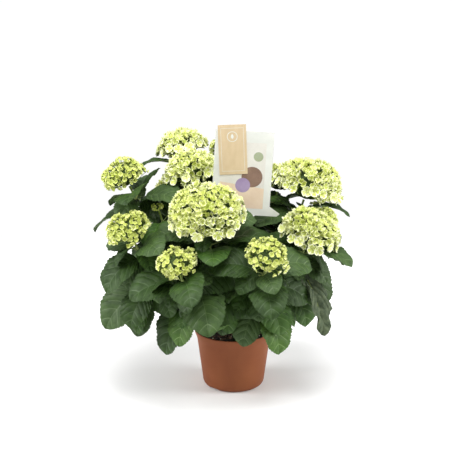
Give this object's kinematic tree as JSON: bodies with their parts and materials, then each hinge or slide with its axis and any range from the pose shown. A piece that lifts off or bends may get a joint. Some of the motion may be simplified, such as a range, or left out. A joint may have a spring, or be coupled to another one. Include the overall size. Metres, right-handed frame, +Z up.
{
  "type": "potted hydrangea shrub",
  "caption": "Bushy mophead hydrangea with lime-green flower heads and broad drooping leaves, standing in a round brown nursery pot with a display card.",
  "frame": {"origin": "centre of the pot's flat underside", "axes": "+Z up along the pot's axis; -Y is the side from which the largest flower head and the card are seen"},
  "size_m": [0.6012, 0.6805, 0.6517],
  "materials": {
    "pot_plastic": "moulded terracotta-brown polypropylene, faint sheen",
    "compost": "moist dark peat compost",
    "bark": "thin young bark on green-brown stems",
    "leaf": "matt quilted leaf",
    "petal": "soft lime-green sepals with cream rims",
    "card_white": "white coated card",
    "card_kraft": "uncoated kraft card",
    "stake_plastic": "dark green plastic"
  },
  "bodies": {
    "root": {"pot": "pot_plastic", "soil": "compost", "trunk": "bark", "card_board": "card_white", "card_tag": "card_kraft", "card_stake": "stake_plastic", "bough_front": "bark", "bough_front_right": "bark", "bough_right": "bark", "bough_back_right": "bark", "bough_upper_back": "bark", "bough_back_left": "bark", "bough_upper_left": "bark", "bough_left": "bark", "flower_head_front": "petal", "flower_head_low_left": "petal", "flower_head_low_right": "petal", "flower_head_right": "petal", "flower_head_upper_right": "petal", "flower_head_back_right": "petal", "flower_head_low_back_right": "petal", "flower_head_top": "petal", "flower_head_back": "petal", "flower_head_back_left": "petal", "flower_head_low_back": "petal", "flower_head_middle_left": "petal", "flower_head_top_left": "petal", "flower_head_low_back_left": "petal", "flower_head_side_left": "petal", "flower_head_upper_left": "petal", "flower_head_bud": "petal", "foliage_front": "leaf", "foliage_front_right": "leaf", "foliage_right": "leaf", "foliage_back_right": "leaf", "foliage_upper_back": "leaf", "foliage_back_left": "leaf", "foliage_upper_left": "leaf", "foliage_left": "leaf"}
  },
  "joints": []
}
